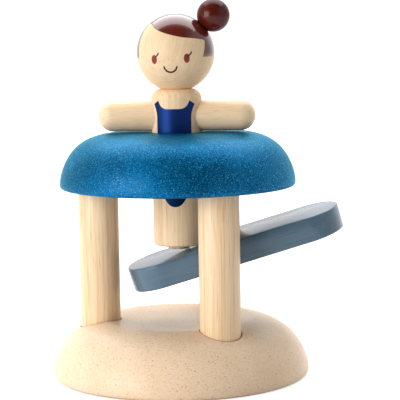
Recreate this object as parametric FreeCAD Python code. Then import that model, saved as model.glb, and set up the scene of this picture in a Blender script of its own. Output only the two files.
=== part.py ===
import FreeCAD, Part
import math
import os

# Jumping acrobat toy: a turned base and a ring on three posts carry a see-saw board.
# Pressing the board's raised end throws the doll up through the ring.
# Millimetres. +X runs along the board towards its raised end, -Y faces the viewer, +Z is up.
# The origin is the centre of the base's underside.

# Base
BASE_RADIUS = 64.5
BASE_HEIGHT = 28.4
BASE_EDGE_HEIGHT = 3.0
BASE_EDGE_ROUND = 2.4
BASE_CROWN_FLATNESS = 5.0
BASE_CROWN_ROUNDNESS = 1.6
DISH_SETBACK = 27.5
DISH_DEPTH = 1.6

# Posts
POST_DIAMETER = 20.0
POST_NAMES = ("post_left", "post_front", "post_rear")
POST_SETBACK = 24.5
BASE_SOCKET_DEPTH = 14.0
RING_SOCKET_DEPTH = 12.0
POST_END_CHAMFER = 0.8

# Ring
RING_OVERHANG = 18.8
RING_HEIGHT = 27.1
RING_UNDERSIDE_HEIGHT = 95.0
RING_EDGE_HEIGHT = 2.6
RING_EDGE_ROUND = 1.3
RING_CROWN_FLATNESS = 6.0
RING_CROWN_ROUNDNESS = 1.5
GUIDE_CLEARANCE = 0.8
GUIDE_EDGE_ROUND = 1.0

# Board and its axle
BOARD_LENGTH = 110.0
BOARD_SIDE_CLEARANCE = 0.64
BOARD_THICKNESS = 12.0
BOARD_END_LENGTH = 18.0
BOARD_SWING_CLEARANCE = 3.3
BOARD_TILT_ANGLE = 16.57
BOARD_EDGE_ROUND = 0.8
BOARD_FOOT_CLEARANCE = 0.2
AXLE_GAP_SHARE = 0.497
AXLE_DIAMETER = 6.0
AXLE_RUNNING_CLEARANCE = 0.08
AXLE_SEAT_DEPTH = 8.0

# Doll
FIGURE_TURN = -5.0
TORSO_DIAMETER = 25.0
TORSO_FOOT_ROUND = 1.0
TORSO_SHOULDER_ROUND = 5.0
ARM_DIAMETER = 15.0
ARM_SPAN = 78.6
ARM_REST_GAP = 0.25
HEAD_DIAMETER = 38.6
HEAD_ABOVE_ARMS = 31.3
BUN_DIAMETER = 16.2
BUN_OFFSET_SIDE = 19.0
BUN_OFFSET_UP = 18.0
NECK_DOWEL_DIAMETER = 6.0
NECK_DOWEL_TORSO_DEPTH = 3.5
NECK_DOWEL_HEAD_DEPTH = 10.0
BUN_DOWEL_DIAMETER = 4.0
BUN_DOWEL_SEAT_DEPTH = 5.0
FOOT_BUTTON_DIAMETER = 11.0
FOOT_BUTTON_HEIGHT = 2.0
FOOT_BUTTON_EDGE_ROUND = 0.8
FOOT_BUTTON_RUNNING_GAP = 0.1
FOOT_PEG_DIAMETER = 5.0
FOOT_PEG_LENGTH = 10.0

# Fits
GLUE_CLEARANCE = 0.05
DRILL_END_GAP = 0.5

# Sizes that follow from the ones above
DISH_RADIUS = BASE_RADIUS - DISH_SETBACK
POST_CIRCLE_RADIUS = BASE_RADIUS - POST_SETBACK
POST_SPACING_ANGLE = 360.0 / len(POST_NAMES)
RING_RADIUS = POST_CIRCLE_RADIUS + RING_OVERHANG
AXLE_HEIGHT = BASE_HEIGHT + AXLE_GAP_SHARE * (RING_UNDERSIDE_HEIGHT - BASE_HEIGHT)

UP = FreeCAD.Vector(0, 0, 1)
ORIGIN = FreeCAD.Vector(0, 0, 0)
CROWN_POINTS = 11


def crown_edge(outer, inner, flatness, roundness):
    """Curve of a turned crown, from its upright outer edge in to a point near the axis."""
    last_turn = math.acos((inner[0] / outer[0]) ** (flatness / 2))
    rise = (inner[1] - outer[1]) / math.sin(last_turn) ** (2 / roundness)
    points = []
    for step in range(CROWN_POINTS):
        turn = last_turn * step / (CROWN_POINTS - 1)
        radius = outer[0] * math.cos(turn) ** (2 / flatness)
        height = rise * math.sin(turn) ** (2 / roundness)
        points.append(FreeCAD.Vector(radius, 0, outer[1] + height))
    curve = Part.BSplineCurve()
    curve.interpolate(points)
    return curve.toShape()


def line(start, end):
    """Straight edge between two points of the XZ half plane."""
    return Part.makeLine(FreeCAD.Vector(start[0], 0, start[1]), FreeCAD.Vector(end[0], 0, end[1]))


def arc(start, middle, end):
    """Round edge through three points of the XZ half plane."""
    points = [FreeCAD.Vector(x, 0, z) for x, z in (start, middle, end)]
    return Part.Arc(*points).toShape()


def quarter_arc(centre, radius, start_angle):
    """Quarter circle in the XZ half plane, from an angle in degrees to 90 more."""
    points = []
    for turn in (0.0, 45.0, 90.0):
        angle = math.radians(start_angle + turn)
        points.append((centre[0] + radius * math.cos(angle), centre[1] + radius * math.sin(angle)))
    return arc(*points)


def turned(edges):
    """Solid of revolution about Z from a closed outline in the XZ half plane."""
    wire = Part.Wire(Part.__sortEdges__(edges))
    return Part.Face(wire).revolve(ORIGIN, UP, 360)


def cylinder(diameter, length, start, direction=UP):
    """Round bar that starts at a point and runs in a direction."""
    return Part.makeCylinder(diameter / 2, length, start, direction)


def dowel(diameter, length, start, direction=UP):
    """Glued dowel pin with its ends eased by a chamfer of a tenth of its diameter."""
    pin = cylinder(diameter, length, start, direction)
    rims = [edge for edge in pin.Edges if isinstance(edge.Curve, Part.Circle)]
    return pin.makeChamfer(diameter / 10, rims)


def post_centre(name, height):
    """Point on a post's axis."""
    angle = math.radians(180.0 + POST_NAMES.index(name) * POST_SPACING_ANGLE)
    return FreeCAD.Vector(POST_CIRCLE_RADIUS * math.cos(angle), POST_CIRCLE_RADIUS * math.sin(angle), height)


def drill_posts(solid, start_height, length):
    """Cut the three blind sockets that the posts are glued into."""
    bore = POST_DIAMETER + 2 * GLUE_CLEARANCE
    for name in POST_NAMES:
        solid = solid.cut(cylinder(bore, length, post_centre(name, start_height)))
    return solid


def base():
    """Turned foot of the toy, with a shallow dish in its top and a blind socket for each post."""
    dish_z = BASE_HEIGHT - DISH_DEPTH
    half_dish_z = dish_z + DISH_DEPTH / 4
    edge_start = BASE_RADIUS - BASE_EDGE_ROUND
    crown = crown_edge((BASE_RADIUS, BASE_EDGE_HEIGHT), (DISH_RADIUS, BASE_HEIGHT), BASE_CROWN_FLATNESS,
                       BASE_CROWN_ROUNDNESS)
    outline = [
        line((0, 0), (0, dish_z)),
        arc((0, dish_z), (DISH_RADIUS / 2, half_dish_z), (DISH_RADIUS, BASE_HEIGHT)),
        crown,
        line((BASE_RADIUS, BASE_EDGE_HEIGHT), (BASE_RADIUS, BASE_EDGE_ROUND)),
        quarter_arc((edge_start, BASE_EDGE_ROUND), BASE_EDGE_ROUND, -90.0),
        line((edge_start, 0), (0, 0)),
    ]
    return drill_posts(turned(outline), BASE_HEIGHT - BASE_SOCKET_DEPTH, BASE_HEIGHT)


def ring_top():
    """Turned ring with a guide hole for the doll and a blind socket for each post."""
    bottom = RING_UNDERSIDE_HEIGHT
    edge_z = bottom + RING_EDGE_HEIGHT
    hole = TORSO_DIAMETER / 2 + GUIDE_CLEARANCE
    lip = hole + GUIDE_EDGE_ROUND
    top = ring_top_height()
    crown = crown_edge((RING_RADIUS, edge_z), (lip, top), RING_CROWN_FLATNESS, RING_CROWN_ROUNDNESS)
    outline = [
        line((lip, bottom), (RING_RADIUS - RING_EDGE_ROUND, bottom)),
        quarter_arc((RING_RADIUS - RING_EDGE_ROUND, bottom + RING_EDGE_ROUND), RING_EDGE_ROUND, -90.0),
        line((RING_RADIUS, bottom + RING_EDGE_ROUND), (RING_RADIUS, edge_z)),
        crown,
        quarter_arc((lip, top - GUIDE_EDGE_ROUND), GUIDE_EDGE_ROUND, 90.0),
        line((hole, top - GUIDE_EDGE_ROUND), (hole, bottom + GUIDE_EDGE_ROUND)),
        quarter_arc((lip, bottom + GUIDE_EDGE_ROUND), GUIDE_EDGE_ROUND, 180.0),
    ]
    length = 2 * RING_SOCKET_DEPTH
    return drill_posts(turned(outline), bottom + RING_SOCKET_DEPTH - length, length)


def ring_top_height():
    """Height of the ring's crown at the guide hole, where the doll's arms rest."""
    return RING_UNDERSIDE_HEIGHT + RING_HEIGHT


def axle_point():
    """Middle of the board's axle, halfway between the front and rear posts."""
    return FreeCAD.Vector(post_centre("post_rear", 0).x, 0, AXLE_HEIGHT)


def axle_span():
    """Half of the distance between the facing sides of the front and rear posts."""
    return abs(post_centre("post_rear", 0).y) - POST_DIAMETER / 2


def post(name):
    """Post with chamfered ends, drilled for the axle where it carries one."""
    bottom = BASE_HEIGHT - BASE_SOCKET_DEPTH
    top = RING_UNDERSIDE_HEIGHT + RING_SOCKET_DEPTH
    bar = cylinder(POST_DIAMETER, top - bottom, post_centre(name, bottom))
    rims = [edge for edge in bar.Edges if isinstance(edge.Curve, Part.Circle)]
    bar = bar.makeChamfer(POST_END_CHAMFER, rims)
    if name == "post_left":
        return bar
    seat = axle_span() + AXLE_SEAT_DEPTH + DRILL_END_GAP
    start = axle_point() - FreeCAD.Vector(0, seat, 0)
    drill = cylinder(AXLE_DIAMETER + 2 * GLUE_CLEARANCE, 2 * seat, start, FreeCAD.Vector(0, 1, 0))
    return bar.cut(drill)


def board_axle():
    """Round pin across the gap between the front and rear posts, glued into both."""
    reach = axle_span() + AXLE_SEAT_DEPTH
    start = axle_point() - FreeCAD.Vector(0, reach, 0)
    return dowel(AXLE_DIAMETER, 2 * reach, start, FreeCAD.Vector(0, 1, 0))


def board_left_length():
    """Length of the board from its axle to its low end, which swings past the left post."""
    swing = axle_point().x + POST_CIRCLE_RADIUS - POST_DIAMETER / 2 - BOARD_SWING_CLEARANCE
    return math.sqrt(swing ** 2 - (BOARD_THICKNESS / 2) ** 2)


def board_middle():
    """Distance from the axle to the middle of the board, along the board."""
    return BOARD_LENGTH / 2 - board_left_length()


def resting_height(corner_radius, corner_round):
    """Height at which a round foot with an eased edge just clears the tilted board's top."""
    tilt = math.radians(BOARD_TILT_ANGLE)
    across = axle_point().x - (corner_radius - corner_round)
    reach = BOARD_THICKNESS / 2 + corner_round + BOARD_FOOT_CLEARANCE
    return AXLE_HEIGHT + (reach - across * math.sin(tilt)) / math.cos(tilt) - corner_round


def half_oval(side, half_width):
    """Rounded end of the board's outline: half an ellipse, closed by nothing."""
    start, middle, end = (FreeCAD.Vector(0, -half_width, 0), FreeCAD.Vector(side * half_width, 0, 0),
                          FreeCAD.Vector(0, half_width, 0))
    stretch = FreeCAD.Matrix()
    stretch.scale(BOARD_END_LENGTH / half_width, 1, 1)
    oval = Part.Arc(start, middle, end).toShape().transformGeometry(stretch)
    straight = BOARD_LENGTH / 2 - BOARD_END_LENGTH
    oval.translate(FreeCAD.Vector(board_middle() + side * straight, 0, -BOARD_THICKNESS / 2))
    return oval


def teeter_board():
    """Long oval board with eased edges, bored across for the axle and tilted as it rests."""
    half_width = axle_span() - BOARD_SIDE_CLEARANCE
    straight = BOARD_LENGTH / 2 - BOARD_END_LENGTH
    ends = [board_middle() + side * straight for side in (-1, 1)]
    edges = [half_oval(side, half_width) for side in (-1, 1)]
    for y in (-half_width, half_width):
        low = -BOARD_THICKNESS / 2
        edges.append(Part.makeLine(FreeCAD.Vector(ends[0], y, low), FreeCAD.Vector(ends[1], y, low)))
    outline = Part.Face(Part.Wire(Part.__sortEdges__(edges)))
    board = outline.extrude(FreeCAD.Vector(0, 0, BOARD_THICKNESS))
    rims = [edge for edge in board.Edges
            if abs(abs(edge.CenterOfMass.z) - BOARD_THICKNESS / 2) < BOARD_EDGE_ROUND / 2]
    board = board.makeFillet(BOARD_EDGE_ROUND, rims)
    bore = cylinder(AXLE_DIAMETER + 2 * AXLE_RUNNING_CLEARANCE, 4 * half_width,
                    FreeCAD.Vector(0, -2 * half_width, 0), FreeCAD.Vector(0, 1, 0))
    board = board.cut(bore)
    board.rotate(ORIGIN, FreeCAD.Vector(0, 1, 0), -BOARD_TILT_ANGLE)
    board.translate(axle_point())
    return board


def arm_height():
    """Height of the arms' axis: they rest on the ring's crown."""
    return ring_top_height() + ARM_REST_GAP + ARM_DIAMETER / 2


def torso_bottom():
    """Height of the underside of the doll's body, whose foot button stands on the board."""
    button = resting_height(FOOT_BUTTON_DIAMETER / 2, FOOT_BUTTON_EDGE_ROUND)
    body = resting_height(TORSO_DIAMETER / 2, TORSO_FOOT_ROUND)
    return max(button + FOOT_BUTTON_HEIGHT + FOOT_BUTTON_RUNNING_GAP, body)


def foot_button_bottom():
    """Height of the face that the doll stands on."""
    return torso_bottom() - FOOT_BUTTON_RUNNING_GAP - FOOT_BUTTON_HEIGHT


def head_centre():
    """Centre of the head's ball."""
    return FreeCAD.Vector(0, 0, arm_height() + HEAD_ABOVE_ARMS)


def bun_direction():
    """Direction from the head's centre to the hair bun's, before the doll is turned."""
    return FreeCAD.Vector(BUN_OFFSET_SIDE, 0, BUN_OFFSET_UP).normalize()


def bun_seat_distance():
    """Distance from the head's centre to the flat where the hair bun is glued on."""
    apart = math.hypot(BUN_OFFSET_SIDE, BUN_OFFSET_UP)
    head_radius = HEAD_DIAMETER / 2
    bun_radius = BUN_DIAMETER / 2
    return (apart ** 2 + head_radius ** 2 - bun_radius ** 2) / (2 * apart)


def bun_dowel_start():
    """Lower end of the dowel that holds the hair bun."""
    return head_centre() + bun_direction() * (bun_seat_distance() - BUN_DOWEL_SEAT_DEPTH)


def neck_dowel_start():
    """Lower end of the dowel that holds the head."""
    return head_centre() - UP * (HEAD_DIAMETER / 2 + NECK_DOWEL_TORSO_DEPTH)


def neck_dowel_length():
    """Length of the dowel that holds the head."""
    return NECK_DOWEL_TORSO_DEPTH + NECK_DOWEL_HEAD_DEPTH


def torso():
    """Doll's body: a dowel with round shoulders, a hollow seat for the head and a hole for the arms."""
    radius = TORSO_DIAMETER / 2
    bottom = torso_bottom()
    head_z = head_centre().z
    seat_radius = HEAD_DIAMETER / 2 + GLUE_CLEARANCE
    flat = radius - TORSO_SHOULDER_ROUND
    top = head_z - math.sqrt(seat_radius ** 2 - flat ** 2)
    seat_low = head_z - seat_radius
    seat_mid = (flat / 2, head_z - math.sqrt(seat_radius ** 2 - flat ** 2 / 4))
    outline = [
        line((0, bottom), (radius - TORSO_FOOT_ROUND, bottom)),
        quarter_arc((radius - TORSO_FOOT_ROUND, bottom + TORSO_FOOT_ROUND), TORSO_FOOT_ROUND, -90.0),
        line((radius, bottom + TORSO_FOOT_ROUND), (radius, top - TORSO_SHOULDER_ROUND)),
        quarter_arc((flat, top - TORSO_SHOULDER_ROUND), TORSO_SHOULDER_ROUND, 0.0),
        arc((flat, top), seat_mid, (0, seat_low)),
        line((0, seat_low), (0, bottom)),
    ]
    body = turned(outline)
    arm_hole = cylinder(ARM_DIAMETER + 2 * GLUE_CLEARANCE, 2 * TORSO_DIAMETER,
                        FreeCAD.Vector(-TORSO_DIAMETER, 0, arm_height()), FreeCAD.Vector(1, 0, 0))
    neck_hole = cylinder(NECK_DOWEL_DIAMETER + 2 * GLUE_CLEARANCE, neck_dowel_length(),
                         neck_dowel_start() - UP * DRILL_END_GAP)
    peg_hole = cylinder(FOOT_PEG_DIAMETER + 2 * AXLE_RUNNING_CLEARANCE, FOOT_PEG_LENGTH + DRILL_END_GAP,
                        FreeCAD.Vector(0, 0, bottom))
    return body.cut(arm_hole).cut(neck_hole).cut(peg_hole)


def arm_dowel():
    """Both arms: one dowel with ball ends, glued through the body."""
    radius = ARM_DIAMETER / 2
    reach = ARM_SPAN / 2 - radius
    centre = FreeCAD.Vector(0, 0, arm_height())
    side = FreeCAD.Vector(1, 0, 0)
    bar = cylinder(ARM_DIAMETER, 2 * reach, centre - side * reach, side)
    for end in (-1, 1):
        bar = bar.fuse(Part.makeSphere(radius, centre + side * end * reach))
    return bar.removeSplitter()


def head():
    """Ball head with a flat where the hair bun sits, drilled for both dowels."""
    ball = Part.makeSphere(HEAD_DIAMETER / 2, head_centre())
    seat = head_centre() + bun_direction() * bun_seat_distance()
    spot_face = cylinder(BUN_DIAMETER, BUN_DIAMETER, seat, bun_direction())
    neck_hole = cylinder(NECK_DOWEL_DIAMETER + 2 * GLUE_CLEARANCE, neck_dowel_length() + DRILL_END_GAP,
                         neck_dowel_start())
    bun_hole = cylinder(BUN_DOWEL_DIAMETER + 2 * GLUE_CLEARANCE, BUN_DIAMETER,
                        bun_dowel_start() - bun_direction() * DRILL_END_GAP, bun_direction())
    return ball.cut(spot_face).cut(neck_hole).cut(bun_hole)


def hair_bun():
    """Ball of hair with a flat against the head and a blind hole for its dowel."""
    centre = head_centre() + FreeCAD.Vector(BUN_OFFSET_SIDE, 0, BUN_OFFSET_UP)
    ball = Part.makeSphere(BUN_DIAMETER / 2, centre)
    seat = head_centre() + bun_direction() * bun_seat_distance()
    below_seat = cylinder(2 * BUN_DIAMETER, BUN_DIAMETER, seat - bun_direction() * BUN_DIAMETER,
                          bun_direction())
    hole_length = 2 * BUN_DOWEL_SEAT_DEPTH + DRILL_END_GAP
    hole = cylinder(BUN_DOWEL_DIAMETER + 2 * GLUE_CLEARANCE, hole_length, bun_dowel_start(),
                    bun_direction())
    return ball.cut(below_seat).cut(hole)


def bun_dowel():
    """Hidden dowel between the head and the hair bun."""
    return dowel(BUN_DOWEL_DIAMETER, 2 * BUN_DOWEL_SEAT_DEPTH, bun_dowel_start(), bun_direction())


def neck_dowel():
    """Hidden dowel between the body and the head."""
    return dowel(NECK_DOWEL_DIAMETER, neck_dowel_length(), neck_dowel_start())


def foot_button():
    """Button under the body that stands on the board, on a peg that runs up into the body."""
    bottom = foot_button_bottom()
    top = bottom + FOOT_BUTTON_HEIGHT
    radius = FOOT_BUTTON_DIAMETER / 2
    flat = radius - FOOT_BUTTON_EDGE_ROUND
    peg_radius = FOOT_PEG_DIAMETER / 2
    peg_top = top + FOOT_PEG_LENGTH
    outline = [
        line((0, bottom), (flat, bottom)),
        quarter_arc((flat, bottom + FOOT_BUTTON_EDGE_ROUND), FOOT_BUTTON_EDGE_ROUND, -90.0),
        line((radius, bottom + FOOT_BUTTON_EDGE_ROUND), (radius, top)),
        line((radius, top), (peg_radius, top)),
        line((peg_radius, top), (peg_radius, peg_top)),
        line((peg_radius, peg_top), (0, peg_top)),
        line((0, peg_top), (0, bottom)),
    ]
    return turned(outline)


FRAME_PIECES = {
    "base": base,
    "ring_top": ring_top,
    "board_axle": board_axle,
    "teeter_board": teeter_board,
}
DOLL_PIECES = {
    "foot_button": foot_button,
    "torso": torso,
    "arm_dowel": arm_dowel,
    "neck_dowel": neck_dowel,
    "head": head,
    "bun_dowel": bun_dowel,
    "hair_bun": hair_bun,
}


def main():
    os.makedirs("parts", exist_ok=True)
    pieces = {name: make() for name, make in FRAME_PIECES.items()}
    for name in POST_NAMES:
        pieces[name] = post(name)
    for name, make in DOLL_PIECES.items():
        pieces[name] = make()
        pieces[name].rotate(ORIGIN, UP, FIGURE_TURN)
    for name, shape in pieces.items():
        shape.exportStep(f"parts/{name}.step")
        print(name, len(shape.Solids), shape.isValid(), round(shape.Volume))
    print("torso bottom", round(torso_bottom(), 2), "axle height", round(AXLE_HEIGHT, 3))


main()
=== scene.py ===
"""Jumping acrobat toy: wooden pieces, their paint and the studio round them."""

import math

import bpy
from mathutils import Euler, Matrix, Vector


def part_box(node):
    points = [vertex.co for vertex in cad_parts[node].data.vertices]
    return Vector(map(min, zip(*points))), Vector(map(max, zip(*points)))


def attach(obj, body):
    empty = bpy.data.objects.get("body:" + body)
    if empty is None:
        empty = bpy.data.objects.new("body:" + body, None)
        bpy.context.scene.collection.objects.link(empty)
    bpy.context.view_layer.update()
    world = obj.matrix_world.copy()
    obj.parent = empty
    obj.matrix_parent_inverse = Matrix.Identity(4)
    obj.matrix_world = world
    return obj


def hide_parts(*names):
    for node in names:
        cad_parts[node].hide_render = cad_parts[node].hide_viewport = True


bl_info = {
    "name": "Jumping acrobat toy",
    "version": (1, 0, 0),
    "blender": (4, 5, 0),
    "location": "View3D > Sidebar > Acrobat toy",
    "description": "Turned, sawn and painted pieces of a wooden jumping acrobat toy",
    "category": "Object",
}

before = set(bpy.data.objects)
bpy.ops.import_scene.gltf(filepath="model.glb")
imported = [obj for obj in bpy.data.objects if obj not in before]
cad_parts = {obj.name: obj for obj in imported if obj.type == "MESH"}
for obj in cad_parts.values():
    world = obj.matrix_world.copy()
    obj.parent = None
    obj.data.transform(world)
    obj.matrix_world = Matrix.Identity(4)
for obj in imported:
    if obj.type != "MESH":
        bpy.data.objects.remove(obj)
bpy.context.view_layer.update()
BASE_LOW, BASE_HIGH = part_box("base")
RING_LOW, RING_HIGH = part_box("ring_top")
HEAD_LOW, HEAD_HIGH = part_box("head")
TORSO_LOW, TORSO_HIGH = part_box("torso")
BUTTON_LOW, BUTTON_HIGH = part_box("foot_button")
ARM_LOW, ARM_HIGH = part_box("arm_dowel")
AXLE_LOW, AXLE_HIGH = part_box("board_axle")
MM = 0.001
POSTS = ("post_left", "post_front", "post_rear")

# Steps round the turned pieces
DISC_STEPS = 224
BODY_STEPS = 160
BAR_STEPS = 96
HOLE_STEPS = 32
SHARP_ANGLE = math.radians(35.0)

# Pins, their holes, and the gap between the body and the head
PIN_RADIUS = 0.003
PIN_HOLE_RADIUS = 0.00305
BUN_HOLE_RADIUS = 0.00205
BUN_HOLE_DEPTH = 0.0055
NECK_HOLE_DEPTH = 0.004
PEG_HOLE_RADIUS = 0.00258
PEG_HOLE_DEPTH = 0.0105
HEAD_SEAT_GAP = 0.00005

# Painted face: millimetres sideways and up from the head's centre
EYE_SPOTS = ((-8.0, -2.83), (7.92, -2.4))
EYE_HALF_WIDTH = 1.38
EYE_HALF_HEIGHT = 2.22
LEFT_LASH = ((-7.2, -1.7), (-6.0, -0.2), (-5.8, 0.35))
RIGHT_LASH = ((8.5, -1.5), (9.9, -0.1), (10.1, 0.7))
SMILE_SIDE = 0.05
SMILE_DROP = 5.93
SMILE_RADIUS = 3.16
SMILE_TOP = -6.6
SMILE_ENDS = (((-3.13, -6.6), (-3.12, -6.55)), ((3.03, -6.6), (3.02, -6.55)))

# Hair's front edge: degrees round the head from its front, and up from its middle
HAIRLINE = (
    (-64.1, 48.6), (-49.1, 46.1), (-33.6, 39.2), (-20.4, 33.9), (-4.5, 28.9),
    (7.2, 25.9), (20.1, 23.4), (34.4, 22.0), (49.3, 20.1), (64.0, 18.5),
)
HAIRLINE_REACH = 70.0
HAIRLINE_TOP = 60.0

CAMERA_LENS = 141.55
CAMERA_PLACE = (0.0156, -0.7816, 0.1795)
CAMERA_SWING = 0.006
CAMERA_DIP = 0.1172
CAMERA_ROLL = -0.0165


# Settings kept on the scene


def length(name, description, default):
    """Length in metres."""
    return bpy.props.FloatProperty(
        name=name, description=description, default=default, unit="LENGTH", precision=5
    )


def angle(name, description, default):
    """Angle, given in degrees."""
    return bpy.props.FloatProperty(
        name=name, description=description, default=math.radians(default), subtype="ANGLE"
    )


def number(name, description, default):
    """Plain number."""
    return bpy.props.FloatProperty(
        name=name, description=description, default=default, subtype="FACTOR"
    )


def linear(channel):
    """Light of a colour channel given as 0 to 255, by the sRGB curve."""
    share = channel / 255
    return share / 12.92 if share <= 0.04045 else ((share + 0.055) / 1.055) ** 2.4


def colour(name, description, red, green, blue):
    """Colour given in the 0 to 255 steps of a paint chart."""
    return bpy.props.FloatVectorProperty(
        name=name,
        description=description,
        default=[linear(red), linear(green), linear(blue)],
        subtype="COLOR",
        min=0.0,
        max=1.0,
    )


class BaseSizes(bpy.types.PropertyGroup):
    """Sizes of the turned base."""

    radius: length("Radius", "Half the width of the base", BASE_HIGH.x)
    height: length("Height", "Height of the base at the rim of its dish", BASE_HIGH.z)
    edge_height: length("Edge height", "Height at which the crown starts", 0.003)
    edge_round: length("Edge round", "Radius of the lower edge", 0.0024)
    flatness: number("Flatness", "How flat the crown's top is", 5.0)
    roundness: number("Roundness", "How full the crown's shoulder is", 1.6)
    dish_radius: length("Dish radius", "Half the width of the dish in the top", 0.037)
    dish_depth: length("Dish depth", "Depth of the dish in the top", 0.0016)
    dish_easing: length("Dish easing", "Width over which the dish's rim is eased", 0.0024)


class RingSizes(bpy.types.PropertyGroup):
    """Sizes of the turned ring."""

    radius: length("Radius", "Half the width of the ring", RING_HIGH.x)
    underside: length("Underside", "Height of the ring's underside", RING_LOW.z)
    height: length("Height", "Height of the ring itself", 0.0271)
    edge_height: length("Edge height", "Height at which the crown starts above the underside", 0.0026)
    edge_round: length("Edge round", "Radius of the lower edge", 0.0013)
    flatness: number("Flatness", "How flat the crown's top is", 6.0)
    roundness: number("Roundness", "How full the crown's shoulder is", 1.5)
    guide_radius: length("Guide radius", "Half the width of the doll's guide hole", 0.0133)
    guide_round: length("Guide round", "Radius of the guide hole's edges", 0.001)


class PostSizes(bpy.types.PropertyGroup):
    """Sizes of the three posts and their sockets."""

    radius: length("Radius", "Half the thickness of a post", 0.01)
    chamfer: length("Chamfer", "Width of the chamfer at each end", 0.0008)
    socket_gap: length("Socket gap", "Gap between a post and its socket's wall", 0.0004)
    axle_seat: length("Axle seat", "Depth of the axle's seat in a post", 0.0085)
    base_floor: length("Base socket floor", "Height of the floors of the base's sockets", 0.0144)
    ring_depth: length("Ring socket depth", "Depth of the ring's sockets", 0.012)


class BoardSizes(bpy.types.PropertyGroup):
    """Sizes of the see-saw board."""

    length: length("Length", "Length of the board", 0.110)
    width: length("Width", "Width of the board", 0.048)
    thickness: length("Thickness", "Thickness of the board", 0.012)
    end_length: length("End length", "Length of each oval end", 0.018)
    edge_round: length("Edge round", "Radius of the board's edges", 0.0008)
    middle: length("Middle", "Distance from the axle to the board's middle", 0.00869)
    tilt: angle("Tilt", "Slope of the board at rest", 16.57)
    bore_gap: length("Bore gap", "Gap between the board and its axle", 0.00008)


class DollSizes(bpy.types.PropertyGroup):
    """Sizes of the doll."""

    turn: angle("Turn", "Turn of the doll about its own axis at rest", -5.0)
    body_radius: length("Body radius", "Half the thickness of the body", 0.0125)
    foot_round: length("Foot round", "Radius of the body's lower edge", 0.001)
    shoulder_round: length("Shoulder round", "Radius of the shoulders", 0.005)
    arm_radius: length("Arm radius", "Half the thickness of the arms", 0.0075)
    arm_span: length("Arm span", "Distance from one arm's tip to the other's", 0.0786)
    arm_gap: length("Arm gap", "Gap between the arms and their hole", 0.00022)
    head_radius: length("Head radius", "Half the width of the head", 0.0193)
    bun_radius: length("Bun radius", "Half the width of the hair bun", 0.0081)
    bun_side: length("Bun side", "Distance of the bun's centre from the head's, sideways", 0.019)
    bun_up: length("Bun up", "Distance of the bun's centre above the head's", 0.018)
    button_radius: length("Button radius", "Half the width of the foot button", 0.0055)
    button_height: length("Button height", "Height of the foot button", 0.002)
    button_round: length("Button round", "Radius of the foot button's lower edge", 0.0008)
    peg_radius: length("Peg radius", "Half the thickness of the foot button's peg", 0.0025)
    peg_chamfer: length("Peg chamfer", "Width of the chamfer on top of the peg", 0.0003)


class Colours(bpy.types.PropertyGroup):
    """Colours of the wood, stain and paint."""

    pressed_pale: colour("Pressed wood", "Main colour of the pressed wood", 255, 228, 196)
    pressed_deep: colour("Pressed wood fibre", "Darker fibres of the pressed wood", 246, 209, 171)
    # The speck colour is also the colour of the painted shade round the posts' feet and along the base's
    # lower edge.
    pressed_speck_and_shade: colour("Pressed wood speck", "Dark specks in the pressed wood", 170, 124, 84)
    wood_pale: colour("Pale wood", "Light growth of the pale wood", 251, 222, 182)
    wood_deep: colour("Pale wood streak", "Darker growth of the pale wood", 230, 186, 136)
    wood_line: colour("Pale wood line", "Thin dark lines of the pale wood", 204, 140, 92)
    wood_pore: colour("Pale wood pore", "Fine pores of the pale wood", 164, 98, 56)
    stain_deep: colour("Blue stain", "Blue stain where it is deepest", 2, 60, 106)
    stain_mid: colour("Blue stain fibre", "Blue stain on the fibres", 3, 106, 160)
    stain_fleck: colour("Blue stain fleck", "Flecks that took little of the stain", 70, 200, 228)
    board_main: colour("Board", "Grey-blue stain of the board", 84, 110, 128)
    board_streak: colour("Board streak", "Paler grain that shows through the stain", 90, 117, 136)
    hair: colour("Hair", "Hair paint", 97, 29, 20)
    hair_streak: colour("Hair streak", "Thinner hair paint, where grain shows", 104, 36, 27)
    suit: colour("Swimsuit", "Swimsuit paint", 18, 42, 98)
    eyes: colour("Eyes", "Paint of the eyes", 132, 46, 34)
    smile: colour("Smile", "Paint of the smile and lashes", 84, 32, 10)


class Studio(bpy.types.PropertyGroup):
    """Light and floor."""

    top_light: number("Top light", "Watts of the wide lamp overhead", 29.0)
    side_light: number("Side light", "Watts of the lamp at the front left", 11.8)
    room: number("Room", "Light of the room in front of the toy", 0.04)
    backdrop: number("Backdrop", "Light of the white surroundings behind and above", 1.15)
    left_wall: number("Left wall", "Light of the pale wall on the left", 0.65)
    right_wall: number("Right wall", "Light of the pale wall on the right", 0.75)
    floor_size: length("Floor size", "Half the width of the floor", 3.0)
    floor_tone: number("Floor tone", "How much light the floor throws back", 0.6)
    floor_glow: number("Floor glow", "Light added where the camera sees the floor", 0.7)


# Modelling


def deselect_all():
    """Leave no object selected."""
    for other in bpy.context.selected_objects:
        other.select_set(False)


def choose(piece):
    """Make one object the only selected and the active one."""
    deselect_all()
    piece.select_set(True)
    bpy.context.view_layer.objects.active = piece


def edit(piece, kind="VERT"):
    """Open a piece in edit mode with nothing selected."""
    choose(piece)
    bpy.ops.object.mode_set(mode="EDIT")
    bpy.ops.mesh.select_mode(type=kind)
    bpy.ops.mesh.select_all(action="DESELECT")


def close_edit():
    """Leave edit mode."""
    bpy.ops.object.mode_set(mode="OBJECT")


def settle(piece):
    """Put a piece's place and turn into its mesh."""
    choose(piece)
    bpy.ops.object.transform_apply(location=True, rotation=True, scale=True)


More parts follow.
